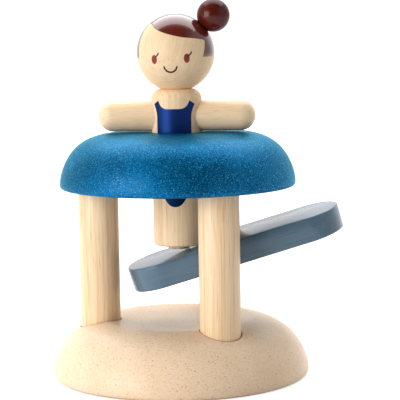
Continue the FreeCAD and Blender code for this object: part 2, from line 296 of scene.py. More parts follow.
def turn_on_lathe(name, outline, steps):
    """Piece turned about Z from its outline of (radius, height) points."""
    deselect_all()
    bpy.ops.mesh.primitive_plane_add(size=MM, location=(outline[0][0], 0, outline[0][1]))
    piece = bpy.context.object
    piece.name = name
    settle(piece)
    edit(piece)
    bpy.ops.mesh.select_all(action="SELECT")
    bpy.ops.mesh.merge(type="CENTER")
    for start, end in zip(outline, outline[1:]):
        step = (end[0] - start[0], 0, end[1] - start[1])
        bpy.ops.mesh.extrude_vertices_move(TRANSFORM_OT_translate={"value": step})
    bpy.ops.mesh.select_all(action="SELECT")
    bpy.ops.mesh.spin(steps=steps, angle=2 * math.pi, center=(0, 0, 0), axis=(0, 0, 1))
    bpy.ops.mesh.select_all(action="SELECT")
    bpy.ops.mesh.remove_doubles(threshold=2e-6)
    bpy.ops.mesh.normals_make_consistent(inside=False)
    close_edit()
    return piece


def round_bar(name, radius, start, end, steps=BAR_STEPS):
    """Round bar between two points."""
    start, end = Vector(start), Vector(end)
    deselect_all()
    bpy.ops.mesh.primitive_cylinder_add(vertices=steps, radius=radius, depth=(end - start).length)
    bar = bpy.context.object
    bar.name = name
    turn = Vector((0, 0, 1)).rotation_difference(end - start).to_matrix().to_4x4()
    bar.matrix_world = Matrix.Translation((start + end) / 2) @ turn
    settle(bar)
    return bar


def bevel_rims(piece, axis, reach, width, segments):
    """Bevel the edges that lie across an axis at a distance from the origin."""
    edit(piece, "EDGE")
    close_edit()
    points = [vertex.co[axis] for vertex in piece.data.vertices]
    for rim in piece.data.edges:
        first, second = (points[i] for i in rim.vertices)
        rim.select = abs(first - second) < MM / 100 and abs(abs(first) - reach) < MM / 100
    bpy.ops.object.mode_set(mode="EDIT")
    bpy.ops.mesh.bevel(offset=width, segments=segments, profile=0.5, affect="EDGES")
    bpy.ops.mesh.select_all(action="SELECT")
    bpy.ops.mesh.remove_doubles(threshold=1e-6)
    close_edit()


def cut(piece, cutter):
    """Take a cutter's shape out of a piece, and remove the cutter."""
    choose(piece)
    modifier = piece.modifiers.new("Cut", "BOOLEAN")
    modifier.operation = "DIFFERENCE"
    modifier.solver = "EXACT"
    modifier.object = cutter
    bpy.ops.object.modifier_apply(modifier=modifier.name)
    mesh = cutter.data
    bpy.data.objects.remove(cutter)
    bpy.data.meshes.remove(mesh)


def arc(centre, radius, first, last, count):
    """Points of an arc, its angles in degrees."""
    points = []
    for step in range(count + 1):
        turn = math.radians(first + (last - first) * step / count)
        points.append((centre[0] + radius * math.cos(turn), centre[1] + radius * math.sin(turn)))
    return points


def crown(outer, inner, flatness, roundness, count):
    """Points of a turned crown, from its upright outer edge in towards the axis."""
    last_turn = math.acos((inner[0] / outer[0]) ** (flatness / 2))
    rise = (inner[1] - outer[1]) / math.sin(last_turn) ** (2 / roundness)
    points = []
    for step in range(count + 1):
        turn = last_turn * step / count
        radius = outer[0] * math.cos(turn) ** (2 / flatness)
        points.append((radius, outer[1] + rise * math.sin(turn) ** (2 / roundness)))
    return points


def eased(start, corner, end, count):
    """Points of a corner eased between two points."""
    points = []
    for step in range(count + 1):
        t = step / count
        weights = ((1 - t) ** 2, 2 * t * (1 - t), t ** 2)
        points.append(tuple(sum(w * p[i] for w, p in zip(weights, (start, corner, end))) for i in (0, 1)))
    return points


def post_middle(node):
    """Lower and upper middle of a post."""
    low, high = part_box(node)
    x, y = (low.x + high.x) / 2, (low.y + high.y) / 2
    return Vector((x, y, low.z)), Vector((x, y, high.z))


def cut_sockets(piece, low, high):
    """Cut the three sockets that hold the posts."""
    sizes = bpy.context.scene.toy_posts
    for node in POSTS:
        x, y, _ = post_middle(node)[0]
        cut(piece, round_bar("socket", sizes.radius + sizes.socket_gap, (x, y, low), (x, y, high)))


def flattened_ball(name, radius, middle, outward, steps):
    """Ball cut off flat at the bun's seat, and drilled there for the bun's dowel."""
    deselect_all()
    bpy.ops.mesh.primitive_uv_sphere_add(
        segments=steps, ring_count=steps // 2, radius=radius, location=middle
    )
    piece = bpy.context.object
    piece.name = name
    settle(piece)
    edit(piece)
    bpy.ops.mesh.select_all(action="SELECT")
    bpy.ops.mesh.bisect(
        plane_co=bun_seat(), plane_no=outward.normalized(), use_fill=True, clear_outer=True, threshold=1e-6
    )
    close_edit()
    half = bun_offset().normalized() * BUN_HOLE_DEPTH
    cut(piece, round_bar("bun_hole", BUN_HOLE_RADIUS, bun_seat() - half, bun_seat() + half, HOLE_STEPS))
    return piece


def turn_doll(piece):
    """Turn a doll's piece with the doll."""
    piece.rotation_euler.z = bpy.context.scene.toy_doll.turn
    settle(piece)


def place(piece, node, body, material):
    """Let a finished piece stand for its node, with its material and smooth shading."""
    choose(piece)
    bpy.ops.object.shade_smooth_by_angle(angle=SHARP_ANGLE)
    piece.data.materials.clear()
    piece.data.materials.append(material)
    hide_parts(node)
    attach(piece, body)


# Materials


class Signal:
    """Output socket of a finish; arithmetic on it adds Math nodes."""

    def __init__(self, finish, socket):
        self.finish = finish
        self.socket = socket

    def math(self, operation, *values):
        """Result of one Math node with this signal first."""
        return self.finish.node("ShaderNodeMath", {"operation": operation}, (self, *values))

    def before(self, operation, value):
        """Result of one Math node with this signal second."""
        return self.finish.node("ShaderNodeMath", {"operation": operation}, (value, self))

    def __add__(self, value):
        return self.math("ADD", value)

    def __radd__(self, value):
        return self.before("ADD", value)

    def __sub__(self, value):
        return self.math("SUBTRACT", value)

    def __rsub__(self, value):
        return self.before("SUBTRACT", value)

    def __mul__(self, value):
        return self.math("MULTIPLY", value)

    def __rmul__(self, value):
        return self.before("MULTIPLY", value)

    def __truediv__(self, value):
        return self.math("DIVIDE", value)

    def __rtruediv__(self, value):
        return self.before("DIVIDE", value)

    def __pow__(self, value):
        return self.math("POWER", value)

    def __abs__(self):
        return self.math("ABSOLUTE")

    def least(self, value):
        """Smaller of two signals."""
        return self.math("MINIMUM", value)

    def most(self, value):
        """Larger of two signals."""
        return self.math("MAXIMUM", value)

    def root(self):
        """Square root."""
        return self.math("SQRT")


class Nodes:
    """Node tree that is built from signals."""

    def __init__(self, tree):
        self.tree = tree
        tree.nodes.clear()

    def feed(self, socket, value):
        """Link a signal to a socket, or write a constant on it."""
        if isinstance(value, Signal):
            self.tree.links.new(value.socket, socket)
        else:
            socket.default_value = value

    def node(self, kind, settings=None, values=(), output=0):
        """Add a node, set it up, feed its inputs and return one output."""
        node = self.tree.nodes.new(kind)
        for key, value in (settings or {}).items():
            if key == "curve":
                line = node.mapping.curves[0]
                line.points[0].location, line.points[1].location = value[0], value[-1]
                for point in value[1:-1]:
                    line.points.new(*point)
                node.mapping.update()
            else:
                setattr(node, key, value)
        pairs = values.items() if isinstance(values, dict) else enumerate(values)
        for key, value in pairs:
            self.feed(node.inputs[key], value)
        return Signal(self, node.outputs[output]) if node.outputs else None

    def place(self, centre=(0, 0, 0), turn=(0, 0, 0)):
        """Object coordinates in millimetres, centred on a point in metres and turned."""
        turn = Euler(turn)
        shift = -(turn.to_matrix() @ (Vector(centre) / MM))
        here = self.node("ShaderNodeTexCoord", output="Object")
        return self.node(
            "ShaderNodeMapping",
            {"vector_type": "POINT"},
            {"Vector": here, "Location": shift, "Rotation": turn, "Scale": (1 / MM, 1 / MM, 1 / MM)},
        )

    def stretch(self, vector, x, y, z):
        """Vector with its axes multiplied."""
        return self.node("ShaderNodeVectorMath", {"operation": "MULTIPLY"}, (vector, (x, y, z)))

    def join(self, first, second):
        """Sum of two vectors."""
        return self.node("ShaderNodeVectorMath", {"operation": "ADD"}, (first, second))

    def axes(self, vector):
        """The three parts of a vector."""
        node = self.tree.nodes.new("ShaderNodeSeparateXYZ")
        self.feed(node.inputs[0], vector)
        return [Signal(self, socket) for socket in node.outputs]

    def noise(self, vector, scale, detail=2.0, roughness=0.5, output=0):
        """Noise on a vector whose axes are multiplied by a scale."""
        vector = self.stretch(vector, *scale)
        values = {"Vector": vector, "Scale": 1.0, "Detail": detail, "Roughness": roughness}
        return self.node("ShaderNodeTexNoise", {}, values, output)

    def fade(self, signal, low, high):
        """0 below low, 1 above high, and smooth between."""
        settings = {"interpolation_type": "SMOOTHSTEP", "clamp": True}
        return self.node("ShaderNodeMapRange", settings, (signal, low, high, 0.0, 1.0))

    def blend(self, share, first, second):
        """Colour between two colours."""
        settings = {"data_type": "RGBA", "clamp_factor": True}
        return self.node("ShaderNodeMix", settings, {0: share, 6: first, 7: second}, 2)

    def shade(self, share, colour):
        """Colour times a brightness."""
        return self.node("ShaderNodeVectorMath", {"operation": "SCALE"}, {0: colour, 3: share})


class Finish(Nodes):
    """Material with one Principled shader."""

    def __init__(self, name, roughness, **constants):
        self.material = bpy.data.materials.new(name)
        self.material.use_nodes = True
        super().__init__(self.material.node_tree)
        self.shader = self.tree.nodes.new("ShaderNodeBsdfPrincipled")
        output = self.tree.nodes.new("ShaderNodeOutputMaterial")
        self.tree.links.new(self.shader.outputs[0], output.inputs[0])
        self.set("Roughness", roughness)
        for socket, value in constants.items():
            self.set(socket.replace("_", " "), value)

    def set(self, name, value):
        """Give one input of the shader a signal or a constant."""
        self.feed(self.shader.inputs[name], value)

    def bump(self, height, depth):
        """Surface relief, its depth in metres."""
        self.set("Normal", self.node("ShaderNodeBump", {}, {"Height": height, "Distance": depth}))


def opaque(colour):
    """Colour setting as a socket's four numbers."""
    return (*colour, 1.0)


def distance(first, second):
    """Distance from the point where both signals are zero."""
    return (first ** 2.0 + second ** 2.0).root()


def wood_grain(finish, centre=(0, 0, 0), turn=(0, 0, 0), seed=0.0):
    """Growth streaks, fibre, dark lines and pores of a pale hardwood, its grain along Z."""
    spot = finish.join(finish.place(centre, turn), (seed * 17.0, seed * 11.0, seed * 53.0))
    sway = finish.noise(spot, (0.03, 0.03, 0.02), 1.0, output=1)
    spot = finish.join(spot, finish.stretch(sway, 1.4, 1.4, 0.0))
    x, y, _ = finish.axes(spot)
    heart = distance(x - 31.0, y + 24.0)
    waver = finish.noise(spot, (0.05, 0.05, 0.012), 2.0)
    rings = (heart * 2.4 + waver * 9.0).math("SINE") * 0.5 + 0.5
    bands = finish.noise(spot, (0.28, 0.28, 0.006), 3.0, 0.6)
    fibre = finish.noise(spot, (1.5, 1.5, 0.035), 3.0, 0.65)
    lines = finish.noise(spot, (1.7, 1.7, 0.009), 2.0, 0.6)
    pores = finish.noise(spot, (2.2, 2.2, 0.07), 1.0)
    return {
        "growth": finish.fade(rings * 0.1 + bands * 0.6 + fibre * 0.75, 0.57, 1.08),
        "fibre": fibre,
        "lines": finish.fade(lines, 0.56, 0.72),
        "pores": finish.fade(pores, 0.64, 0.74),
    }


def wood_colour(finish, grain, clear=1.0):
    """Colour of the pale hardwood, its grain more or less clear."""
    colours = bpy.context.scene.toy_colours
    body = finish.blend(grain["growth"] * clear, opaque(colours.wood_pale), opaque(colours.wood_deep))
    body = finish.blend(grain["lines"] * 0.5 * clear, body, opaque(colours.wood_line))
    return finish.blend(grain["pores"] * 0.3 * clear, body, opaque(colours.wood_pore))


def pale_wood(name, centre=(0, 0, 0), turn=(0, 0, 0), seed=0.0, clear=1.0):
    """Bare pale hardwood, sanded and waxed."""
    finish = Finish(name, 0.5, Specular_IOR_Level=0.2, Coat_Weight=0.5, Coat_Roughness=0.4)
    grain = wood_grain(finish, centre, turn, seed)
    finish.set("Base Color", wood_colour(finish, grain, clear))
    finish.set("Roughness", 0.46 + grain["growth"] * 0.1)
    finish.bump(grain["fibre"] - grain["pores"] * 0.4, 0.00003)
    return finish.material


def post_gap(x, y):
    """Distance in millimetres from the nearest post's side."""
    nearest = None
    for node in POSTS:
        foot = post_middle(node)[0] / MM
        gap = distance(x - foot.x, y - foot.y)
        nearest = gap if nearest is None else nearest.least(gap)
    return nearest - bpy.context.scene.toy_posts.radius / MM


def pressed_wood():
    """Pressed wood of the base under a clear coat, with painted shade round the posts' feet and along its
    lower edge.
    """
    colours = bpy.context.scene.toy_colours
    coat = {"Coat_Weight": 0.5, "Coat_Roughness": 0.28, "Coat_IOR": 1.35}
    finish = Finish("pressed_wood", 0.42, Specular_IOR_Level=0.1, **coat)
    spot = finish.place()
    cloud = finish.noise(spot, (0.07, 0.07, 0.07), 2.0)
    fibre = finish.noise(spot, (1.5, 1.5, 1.5), 2.0, 0.7)
    short = finish.noise(spot, (0.6, 2.0, 1.4), 2.0, 0.6)
    specks = finish.fade(finish.noise(spot, (1.0, 1.0, 1.0), 1.0), 0.68, 0.74)
    share = finish.fade(cloud * 0.3 + fibre * 0.9 + short * 0.5, 0.66, 1.1)
    body = finish.blend(share, opaque(colours.pressed_pale), opaque(colours.pressed_deep))
    x, y, z = finish.axes(spot)
    # Painted shade: a dark ring round each post's foot, where shade falls at the joint.
    post_foot_shade = finish.fade(post_gap(x, y), 0.95, 0.5) * 0.65
    # Painted shade: a dark band along the base's lowest 1.3 mm, where its rounded edge faces the floor.
    lower_edge_shade = finish.fade(z, 1.3, 0.5) * 0.5
    short_fibres = finish.fade(short, 0.58, 0.74) * 0.3
    # The dark share mixes the real specks and short fibres with the painted shade round the posts and at the
    # foot.
    dark = post_foot_shade.most(lower_edge_shade).most(specks * 0.65).most(short_fibres)
    finish.set("Base Color", finish.blend(dark, body, opaque(colours.pressed_speck_and_shade)))
    finish.set("Roughness", 0.4 + fibre * 0.12)
    finish.bump(fibre, 0.00007)
    return finish.material


def blue_stain():
    """Pressed wood of the ring under blue stain, flecked where fibres took little of it."""
    colours = bpy.context.scene.toy_colours
    sheen = {"Metallic": 0.85, "Specular_Tint": (0.02, 0.92, 1.0, 1.0)}
    finish = Finish("blue_stained_wood", 0.4, Coat_Roughness=0.3, Coat_IOR=1.4, **sheen)
    spot = finish.place()
    cloud = finish.noise(spot, (0.06, 0.06, 0.06), 2.0)
    fibre = finish.noise(spot, (1.0, 1.0, 1.0), 3.0, 0.8)
    flecks = finish.noise(spot, (1.7, 1.7, 1.7), 2.0, 0.7)
    pits = finish.fade(finish.noise(spot, (1.5, 1.5, 1.5), 2.0, 0.7), 0.44, 0.3)
    share = finish.fade(cloud * 0.35 + fibre * 0.9, 0.42, 0.86)
    body = finish.blend(share, opaque(colours.stain_deep), opaque(colours.stain_mid))
    fleck = finish.fade(flecks, 0.55, 0.68)
    body = finish.shade(1.0 - pits * 0.45, body)
    finish.set("Base Color", finish.blend(fleck * 0.5, body, opaque(colours.stain_fleck)))
    finish.set("Roughness", 0.34 + fibre * 0.16)
    finish.set("Coat Weight", 0.1 + fleck * 0.9)
    finish.bump(fibre + fleck * 0.5, 0.00028)
    return finish.material


def board_stain():
    """Grey-blue stain on the board, with its long grain faintly through it."""
    colours = bpy.context.scene.toy_colours
    sizes = bpy.context.scene.toy_board
    coat = {"Coat_Roughness": 0.15, "Coat_IOR": 1.38}
    finish = Finish("grey_blue_painted_wood", 0.4, Specular_IOR_Level=0.1, **coat)
    spot = finish.place(board_axle(), (0, sizes.tilt, 0))
    bands = finish.noise(spot, (0.012, 0.35, 0.35), 3.0, 0.6)
    fibre = finish.noise(spot, (0.07, 1.7, 1.7), 3.0, 0.65)
    pores = finish.fade(finish.noise(spot, (0.12, 2.1, 2.1), 1.0), 0.6, 0.72)
    share = finish.fade(bands * 0.7 + fibre * 0.6, 0.5, 0.85)
    body = finish.blend(share, opaque(colours.board_main), opaque(colours.board_streak))
    finish.set("Base Color", finish.shade(1.0 - pores * 0.08, body))
    finish.set("Roughness", 0.36 + fibre * 0.1)
    finish.set("Coat Weight", 1.0 - pores * 0.5 - share * 0.3)
    finish.bump(fibre - pores * 0.8, 0.00007)
    return finish.material


def hair_colour(finish, spot):
    """Hair paint, with the turned ball's grain faintly through it."""
    colours = bpy.context.scene.toy_colours
    streak = finish.noise(spot, (0.5, 0.5, 0.05), 3.0, 0.6)
    fine = finish.noise(spot, (1.9, 1.9, 0.12), 2.0, 0.6)
    share = finish.fade(streak * 0.7 + fine * 0.5, 0.52, 0.82)
    return finish.blend(share, opaque(colours.hair), opaque(colours.hair_streak))


def hair_paint():
    """Glossy paint of the hair bun."""
    coat = {"Coat_Weight": 0.45, "Coat_Roughness": 0.2}
    finish = Finish("red_brown_painted_wood", 0.5, Specular_IOR_Level=0.0, **coat)
    spot = finish.place(bun_middle(), (0.3, 0.75, 0.0))
    finish.set("Base Color", finish.shade(0.68, hair_colour(finish, spot)))
    finish.bump(finish.noise(spot, (1.9, 1.9, 0.12), 2.0, 0.6), 0.00006)
    return finish.material


def stroke(x, z, start, end):
    """Distance in millimetres from a painted line."""
    (ax, az), (bx, bz) = start, end
    run, rise = bx - ax, bz - az
    across, up = x - ax, z - az
    along = (across * run + up * rise) / (run * run + rise * rise)
    along = along.most(0.0).least(1.0)
    return distance(across - along * run, up - along * rise)


def lash(x, z, points, thinning):
    """Distance in millimetres from a lash: a line with a thinner tip."""
    root, bend, tip = points
    return stroke(x, z, root, bend).least(stroke(x, z, bend, tip) + thinning)


def hair_edge(finish, x, y, z):
    """Distance in millimetres inside the hair's painted edge, on the head's surface."""
    degrees = math.degrees(1)
    mm_per_degree = bpy.context.scene.toy_doll.head_radius / MM * math.radians(1)
    azimuth = x.math("ARCTAN2", y * -1.0) * degrees
    height = z.math("ARCTAN2", distance(x, y)) * degrees
    width = 2 * HAIRLINE_REACH
    curve = [((side + HAIRLINE_REACH) / width, up / HAIRLINE_TOP) for side, up in HAIRLINE]
    across = (azimuth + HAIRLINE_REACH) / width
    line = finish.node("ShaderNodeFloatCurve", {"curve": curve}, {1: across}) * HAIRLINE_TOP
    # Fringe, both temples and the lower edge, each as millimetres inside its line
    narrow = height.math("RADIANS").math("COSINE") * mm_per_degree
    above = (height - line) * mm_per_degree
    right = (azimuth - 53.6 - height * 0.3) * narrow
    left = (-60.3 - height * 0.078 - azimuth) * narrow
    lower = z + 2.22 - x * 0.016
    round_corner = finish.node("ShaderNodeMath", {"operation": "SMOOTH_MAX"}, (above, right, 1.8))
    return round_corner.most(left).least(lower)


def head_paint():
    """Pale wood head with its glossy hair paint and simple painted face."""
    colours = bpy.context.scene.toy_colours
    finish = Finish("head_wood", 0.4, Specular_IOR_Level=0.25, Coat_Roughness=0.08)
    grain = wood_grain(finish, head_middle(), (0.12, -0.3, 0.0), 3.0)
    spot = finish.place(head_middle(), (0, 0, math.radians(7.0)))
    x, y, z = finish.axes(spot)
    front = finish.fade(y * -1.0, 0.0, 0.5)
    hair = finish.fade(hair_edge(finish, x, y, z), -0.07, 0.07)
    left_eye, right_eye = (
        distance((x - side) / EYE_HALF_WIDTH, (z - up) / EYE_HALF_HEIGHT) for side, up in EYE_SPOTS
    )
    eyes = finish.fade(left_eye.least(right_eye), 1.06, 0.94) * front
    bow = abs(distance(x + SMILE_SIDE, z + SMILE_DROP) - SMILE_RADIUS).most(z - SMILE_TOP)
    left_end, right_end = (stroke(x, z, start, end) for start, end in SMILE_ENDS)
    smile = finish.fade(bow.least(left_end.least(right_end)), 0.5, 0.34)
    lashes = finish.fade(lash(x, z, LEFT_LASH, 0.1).least(lash(x, z, RIGHT_LASH, 0.08)), 0.46, 0.3)
    lines = smile.most(lashes) * front
    skin = finish.shade(0.91, wood_colour(finish, grain, 0.5))
    face = finish.blend(eyes, skin, opaque(colours.eyes))
    face = finish.blend(lines, face, opaque(colours.smile))
    finish.set("Base Color", finish.blend(hair, face, hair_colour(finish, spot)))
    painted = eyes.most(lines)
    finish.set("Roughness", 0.42 - hair * 0.2 - painted * 0.1)
    finish.set("Coat Weight", hair)
    finish.bump(grain["fibre"] * (1.0 - hair * 0.8) * 0.5 + hair * 0.7 + painted * 0.2, 0.00005)
    return finish.material


def body_paint():
    """Pale wood body with its swimsuit paint, darkened towards the feet by painted shade below the ring."""
    colours = bpy.context.scene.toy_colours
    sizes = bpy.context.scene.toy_doll
    finish = Finish("body_wood", 0.45, Specular_IOR_Level=0.2, Specular_Tint=(0.2, 0.6, 1.0, 1.0))
    grain = wood_grain(finish, (0, 0, 0), (0, 0, 0.6), 5.0)
    x, y, z = finish.axes(finish.place((0, 0, 0), (0, 0, math.radians(6.5))))
    mm_per_degree = sizes.body_radius / MM * math.radians(1)
    azimuth = x.math("ARCTAN2", y * -1.0) * math.degrees(1)
    side = abs(azimuth)
    # Edges of the suit: heights in millimetres, and degrees round the body from its front
    armhole = ((z - 129.5) / 6.5).most(0.0).least(1.3) ** 2.0
    sides = (42.5 + armhole * 10.5 - side) * mm_per_degree
    neck = (133.9 + ((side / 37.8) ** 5.0) * 4.1 - z) * 0.6
    straps = 138.05 - (side - 37.5) * 0.12 - z
    across = abs(azimuth - 1.0) * mm_per_degree
    legs = (z - 85.56 - (across / 3.75) ** 2.4 * 1.7) * 0.8
    mask = finish.fade(sides.least(neck).least(straps).least(legs), -0.06, 0.06)
    # Painted shade: the suit's paint is darkened below the ring, where the ring shades it.
    light = 0.35 + finish.fade(z, 90.0, 104.0) * 0.65
    suit = finish.shade(light, tuple(colours.suit))
    finish.set("Base Color", finish.blend(mask, wood_colour(finish, grain, 0.85), suit))
    finish.set("Roughness", 0.46 - mask * 0.1)
    finish.set("Metallic", mask * 0.5)
    finish.bump(grain["fibre"] * (1.0 - mask * 0.85) + mask * 0.6, 0.00006)
    return finish.material


# Places that several pieces share


def board_axle():
    """Middle of the board's axle."""
    return (AXLE_LOW + AXLE_HIGH) / 2


def head_middle():
    """Centre of the head's ball."""
    return Vector((0, 0, HEAD_HIGH.z - bpy.context.scene.toy_doll.head_radius))


def bun_offset():
    """From the head's centre to the bun's, with the doll turned as it stands."""
    sizes = bpy.context.scene.toy_doll
    return Matrix.Rotation(sizes.turn, 3, "Z") @ Vector((sizes.bun_side, 0, sizes.bun_up))


def bun_middle():
    """Centre of the hair bun's ball."""
    return head_middle() + bun_offset()


def bun_seat():
    """Point on the flat between head and bun."""
    sizes = bpy.context.scene.toy_doll
    apart = bun_offset().length
    reach = (apart ** 2 + sizes.head_radius ** 2 - sizes.bun_radius ** 2) / (2 * apart)
    return head_middle() + bun_offset().normalized() * reach


def arm_height():
    """Height of the arms' axis."""
    return (ARM_LOW.z + ARM_HIGH.z) / 2


# Pieces


class MakeBase(bpy.types.Operator):
    """Turned base of pressed wood with a shallow dish and three sockets"""

    bl_idname = "acrobat_toy.base"
    bl_label = "Base"

    def execute(self, context):
        sizes = context.scene.toy_base
        edge = sizes.radius - sizes.edge_round
        dish_z = sizes.height - sizes.dish_depth
        rim = crown(
            (sizes.radius, sizes.edge_height),
            (sizes.dish_radius, sizes.height),
            sizes.flatness,
            sizes.roundness,
            44,
        )
        eased_from = sizes.dish_radius - sizes.dish_easing / 2
        outside = [point for point in rim if point[0] > sizes.dish_radius + sizes.dish_easing / 2]
        share = (eased_from / sizes.dish_radius) ** 2
        inner = (eased_from, dish_z + sizes.dish_depth * share)
        outline = [(0, 0), (edge * 0.5, 0)]
        outline += arc((edge, sizes.edge_round), sizes.edge_round, -90, 0, 8)
        outline += outside
        outline += eased(outside[-1], (sizes.dish_radius, sizes.height), inner, 6)[1:]
        for step in range(9, -1, -1):
            radius = eased_from * step / 10
            outline.append((radius, dish_z + sizes.dish_depth * (radius / sizes.dish_radius) ** 2))
        piece = turn_on_lathe("turned_base", outline, DISC_STEPS)
        cut_sockets(piece, context.scene.toy_posts.base_floor, 0.04)
        place(piece, "base", "stand", pressed_wood())
        return {"FINISHED"}


class MakeRing(bpy.types.Operator):
    """Turned ring of blue stained pressed wood with its guide hole and sockets"""

    bl_idname = "acrobat_toy.ring"
    bl_label = "Ring"

    def execute(self, context):
        sizes = context.scene.toy_ring
        low = sizes.underside
        top = low + sizes.height
        edge = sizes.radius - sizes.edge_round
        lip = sizes.guide_radius + sizes.guide_round
        outline = [(lip, low), ((lip + edge) / 2, low)]
        outline += arc((edge, low + sizes.edge_round), sizes.edge_round, -90, 0, 6)
        crown_foot = (sizes.radius, low + sizes.edge_height)
        outline += crown(crown_foot, (lip, top), sizes.flatness, sizes.roundness, 56)
        outline += arc((lip, top - sizes.guide_round), sizes.guide_round, 90, 180, 6)[1:]
        outline += arc((lip, low + sizes.guide_round), sizes.guide_round, 180, 270, 6)
        piece = turn_on_lathe("blue_ring", outline, DISC_STEPS)
        cut_sockets(piece, low - 0.01, low + context.scene.toy_posts.ring_depth)
        place(piece, "ring_top", "stand", blue_stain())
        return {"FINISHED"}


class MakePosts(bpy.types.Operator):
    """Three posts, two of them drilled for the board's axle"""

    bl_idname = "acrobat_toy.posts"
    bl_label = "Posts"

    def execute(self, context):
        sizes = context.scene.toy_posts
        for seed, node in enumerate(POSTS):
            low, high = post_middle(node)
            half = (high.z - low.z) / 2
            piece = round_bar(f"{node}_dowel", sizes.radius, (0, 0, -half), (0, 0, half))
            bevel_rims(piece, 2, half, sizes.chamfer, 2)
            piece.location = (low + high) / 2
            settle(piece)
            if node != "post_left":
                side = math.copysign(1, low.y)
                face = low.y - side * sizes.radius
                start = Vector((board_axle().x, face - side * 0.005, board_axle().z))
                end = Vector((board_axle().x, face + side * sizes.axle_seat, board_axle().z))
                cut(piece, round_bar("seat", PIN_HOLE_RADIUS, start, end, HOLE_STEPS))
            grain_turn = (0, 0, 1.1 + 2.0 * seed)
            wood = pale_wood(f"{node}_wood", (low.x, low.y, 0), grain_turn, seed + 1.0)
            place(piece, node, "stand", wood)
        return {"FINISHED"}


class MakeBoard(bpy.types.Operator):
    """Long oval see-saw board, bored for its axle"""

    bl_idname = "acrobat_toy.board"
    bl_label = "Board"

    def execute(self, context):
        sizes = context.scene.toy_board
        half = sizes.thickness / 2
        piece = round_bar("seesaw_board", sizes.width / 2, (0, 0, -half), (0, 0, half), BODY_STEPS)
        piece.scale.x = sizes.end_length / (sizes.width / 2)
        settle(piece)
        straight = sizes.length / 2 - sizes.end_length
        for side in (-1, 1):
            edit(piece)
            close_edit()
            for vertex in piece.data.vertices:
                vertex.select = vertex.co.x * side > MM / 100
            bpy.ops.object.mode_set(mode="EDIT")
            bpy.ops.transform.translate(value=(side * straight, 0, 0))
            close_edit()
        bevel_rims(piece, 2, half, sizes.edge_round, 4)
        piece.location.x = sizes.middle
        settle(piece)
        bore = PIN_RADIUS + sizes.bore_gap
        cut(piece, round_bar("bore", bore, (0, -sizes.width, 0), (0, sizes.width, 0), 48))
        piece.rotation_euler.y = -sizes.tilt
        piece.location = board_axle()
        settle(piece)
        place(piece, "teeter_board", "board", board_stain())
        return {"FINISHED"}


class MakeBody(bpy.types.Operator):
    """Doll's body with round shoulders, a seat for the head and a hole for the arms"""

    bl_idname = "acrobat_toy.body"
    bl_label = "Body"

    def execute(self, context):
        sizes = context.scene.toy_doll
        low = TORSO_LOW.z
        middle = head_middle().z
        seat = sizes.head_radius + HEAD_SEAT_GAP
        flat = sizes.body_radius - sizes.shoulder_round
        top = middle - math.sqrt(seat ** 2 - flat ** 2)
        foot = sizes.body_radius - sizes.foot_round
        outline = [(0, low + PEG_HOLE_DEPTH), (PEG_HOLE_RADIUS, low + PEG_HOLE_DEPTH), (PEG_HOLE_RADIUS, low)]
        outline += arc((foot, low + sizes.foot_round), sizes.foot_round, -90, 0, 6)
        for step in range(1, 24):
            outline.append((sizes.body_radius, low + (top - low) * step / 25))
        outline += arc((flat, top - sizes.shoulder_round), sizes.shoulder_round, 0, 90, 14)
        for step in range(1, 8):
            radius = flat - (flat - PIN_HOLE_RADIUS) * step / 7
            outline.append((radius, middle - math.sqrt(seat ** 2 - radius ** 2)))
        neck_floor = middle - seat - NECK_HOLE_DEPTH
        outline += [(PIN_HOLE_RADIUS, neck_floor), (0, neck_floor)]
        piece = turn_on_lathe("doll_body", outline, BODY_STEPS)
        left, right = ((side * 0.03, 0, arm_height()) for side in (-1, 1))
        cut(piece, round_bar("arm_hole", sizes.arm_radius + sizes.arm_gap, left, right, 128))
        turn_doll(piece)
        place(piece, "torso", "figure", body_paint())
        return {"FINISHED"}


class MakeArms(bpy.types.Operator):
    """Both arms: one dowel with ball ends"""

    bl_idname = "acrobat_toy.arms"
    bl_label = "Arms"

    def execute(self, context):
        sizes = context.scene.toy_doll
        half = sizes.arm_span / 2
        piece = round_bar("doll_arms", sizes.arm_radius, (-half, 0, 0), (half, 0, 0))
        bevel_rims(piece, 0, half, sizes.arm_radius * 0.998, 20)
        piece.location.z = arm_height()
        settle(piece)
        turn_doll(piece)
        wood = pale_wood("arm_wood", (0, 0, arm_height()), (0, math.radians(90), 0), 7.0, 0.5)
        place(piece, "arm_dowel", "figure", wood)
        return {"FINISHED"}


class MakeHead(bpy.types.Operator):
    """Ball head with a flat for the hair bun, drilled for its dowels"""

    bl_idname = "acrobat_toy.head"
    bl_label = "Head"

    def execute(self, context):
        sizes = context.scene.toy_doll
        piece = flattened_ball("doll_head", sizes.head_radius, head_middle(), bun_offset(), 144)
        low = Vector((0, 0, HEAD_LOW.z - 0.002))
        high = low + Vector((0, 0, 0.0125))
        cut(piece, round_bar("neck_hole", PIN_HOLE_RADIUS, low, high, HOLE_STEPS))
        place(piece, "head", "figure", head_paint())
        return {"FINISHED"}


class MakeBun(bpy.types.Operator):
    """Hair bun: a ball with a flat against the head"""

    bl_idname = "acrobat_toy.bun"
    bl_label = "Hair bun"

    def execute(self, context):
        sizes = context.scene.toy_doll
        piece = flattened_ball("doll_bun", sizes.bun_radius, bun_middle(), -bun_offset(), 96)
        place(piece, "hair_bun", "figure", hair_paint())
        return {"FINISHED"}


